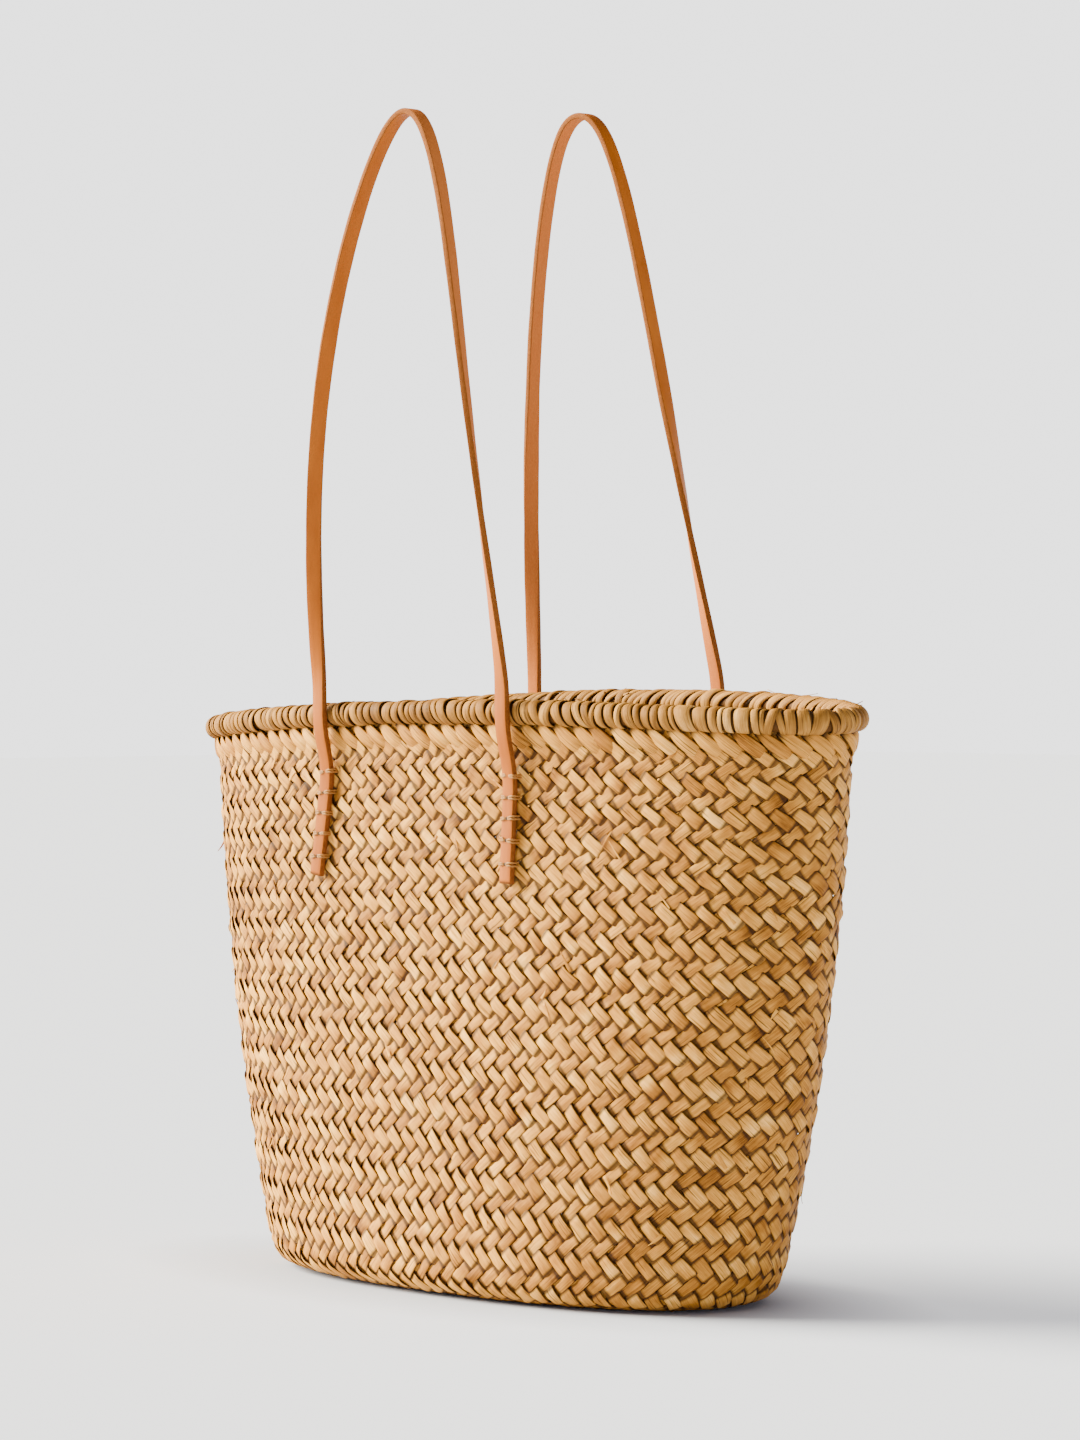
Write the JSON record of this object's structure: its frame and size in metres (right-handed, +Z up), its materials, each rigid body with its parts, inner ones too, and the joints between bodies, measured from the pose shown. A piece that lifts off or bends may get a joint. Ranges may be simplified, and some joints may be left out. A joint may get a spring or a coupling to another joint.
{
  "type": "woven market basket",
  "caption": "Oval plaited palm-leaf market basket with a flared body, wrapped rim and twisted leather strap handles lashed to the long sides, which fold outward.",
  "frame": {"origin": "centre of the footprint, on the surface the basket stands on", "axes": "+Z up, +X along the long side, front long side towards -Y"},
  "size_m": [0.4483, 0.1648, 0.5893],
  "materials": {
    "plaited_palm": "dry unvarnished palm-leaf strips, faint grain, varied straw tones",
    "rim_core_bundle": "hidden bundle of leaf stalks",
    "rim_strip": "palm-leaf strip wrapped tightly in slanted turns",
    "strap_leather": "vegetable-tanned tan leather with raw paler edges",
    "waxed_thread": "twisted raffia thread"
  },
  "bodies": {
    "basket": {"woven_wall": "plaited_palm", "woven_base": "plaited_palm", "rim_core": "rim_core_bundle", "rim_wrapping": "rim_strip", "front_left_strap_end": "strap_leather", "front_right_strap_end": "strap_leather", "rear_left_strap_end": "strap_leather", "rear_right_strap_end": "strap_leather", "front_left_lashing_1": "waxed_thread", "front_left_lashing_2": "waxed_thread", "front_left_lashing_3": "waxed_thread", "front_left_lashing_4": "waxed_thread", "front_left_lashing_5": "waxed_thread", "front_right_lashing_1": "waxed_thread", "front_right_lashing_2": "waxed_thread", "front_right_lashing_3": "waxed_thread", "front_right_lashing_4": "waxed_thread", "front_right_lashing_5": "waxed_thread", "rear_left_lashing_1": "waxed_thread", "rear_left_lashing_2": "waxed_thread", "rear_left_lashing_3": "waxed_thread", "rear_left_lashing_4": "waxed_thread", "rear_left_lashing_5": "waxed_thread", "rear_right_lashing_1": "waxed_thread", "rear_right_lashing_2": "waxed_thread", "rear_right_lashing_3": "waxed_thread", "rear_right_lashing_4": "waxed_thread", "rear_right_lashing_5": "waxed_thread"},
    "front_handle": {"front_handle_strap": "strap_leather"},
    "rear_handle": {"rear_handle_strap": "strap_leather"}
  },
  "joints": [
    {"name": "front_handle_fold", "type": "hinge", "parent": "basket", "child": "front_handle", "pos_m": [0, -0.07365, 0.3], "axis": [1, 0, 0], "range_deg": [-13, 140]},
    {"name": "rear_handle_fold", "type": "hinge", "parent": "basket", "child": "rear_handle", "pos_m": [0, 0.07365, 0.3], "axis": [-1, 0, 0], "range_deg": [-7, 154]}
  ]
}
